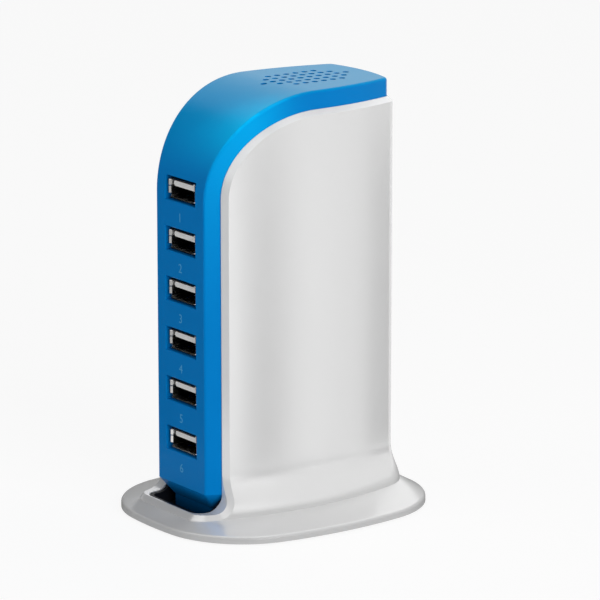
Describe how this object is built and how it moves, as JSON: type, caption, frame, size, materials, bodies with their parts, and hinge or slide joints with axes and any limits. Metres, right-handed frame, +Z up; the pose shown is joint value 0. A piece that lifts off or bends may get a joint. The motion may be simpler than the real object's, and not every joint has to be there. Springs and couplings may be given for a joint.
{
  "type": "multi port usb desktop charger",
  "caption": "Upright desktop USB charger: a rolled-front tower core with a column of ports stands in a wrap-round sleeve that flares into an oval base; vents on top, mains inlet behind.",
  "frame": {"origin": "under the middle of the oval base, on the surface the pads stand on", "axes": "+Z up the tower, the ports face -Y and the mains inlet faces +Y"},
  "size_m": [0.0754, 0.0904, 0.1313],
  "materials": {
    "white_plastic": "satin white moulding",
    "blue_plastic": "satin blue moulding",
    "dark_plastic": "matte black moulding",
    "pad_rubber": "soft black pad",
    "screw_steel": "zinc-plated",
    "shell_steel": "nickel-plated sheet",
    "tongue_plastic": "pale moulding",
    "contact_metal": "gold-plated",
    "pin_metal": "nickel-plated",
    "board_laminate": "green solder mask",
    "device_plastic": "moulded case",
    "film_case": "yellow case",
    "capacitor_sleeve": "shrunk sleeve",
    "ferrite": "sintered ferrite",
    "copper_winding": "enamelled copper",
    "bobbin_plastic": "moulded",
    "sink_aluminium": "mill finish"
  },
  "bodies": {
    "root": {"outer_sleeve": "white_plastic", "core_cover": "blue_plastic", "base_plate": "dark_plastic", "inlet_body": "dark_plastic", "foot_pad_1": "pad_rubber", "foot_pad_2": "pad_rubber", "foot_pad_3": "pad_rubber", "foot_pad_4": "pad_rubber", "base_screws": "screw_steel", "board_screws": "screw_steel", "usb_shell_1": "shell_steel", "usb_shell_2": "shell_steel", "usb_shell_3": "shell_steel", "usb_shell_4": "shell_steel", "usb_shell_5": "shell_steel", "usb_shell_6": "shell_steel", "usb_insulator_1": "tongue_plastic", "usb_insulator_2": "tongue_plastic", "usb_insulator_3": "tongue_plastic", "usb_insulator_4": "tongue_plastic", "usb_insulator_5": "tongue_plastic", "usb_insulator_6": "tongue_plastic", "usb_contacts_1": "contact_metal", "usb_contacts_2": "contact_metal", "usb_contacts_3": "contact_metal", "usb_contacts_4": "contact_metal", "usb_contacts_5": "contact_metal", "usb_contacts_6": "contact_metal", "inlet_pins": "pin_metal", "port_board": "board_laminate", "power_board": "board_laminate", "fuse": "device_plastic", "bridge_rectifier": "device_plastic", "power_transistor": "device_plastic", "output_rectifier": "device_plastic", "link_header": "device_plastic", "safety_capacitor": "film_case", "bulk_capacitor": "capacitor_sleeve", "output_capacitor_1": "capacitor_sleeve", "output_capacitor_2": "capacitor_sleeve", "choke_core": "ferrite", "transformer_core": "ferrite", "choke_coil": "copper_winding", "transformer_coil": "copper_winding", "transformer_bobbin": "bobbin_plastic", "heat_sink_1": "sink_aluminium", "heat_sink_2": "sink_aluminium"}
  },
  "joints": []
}
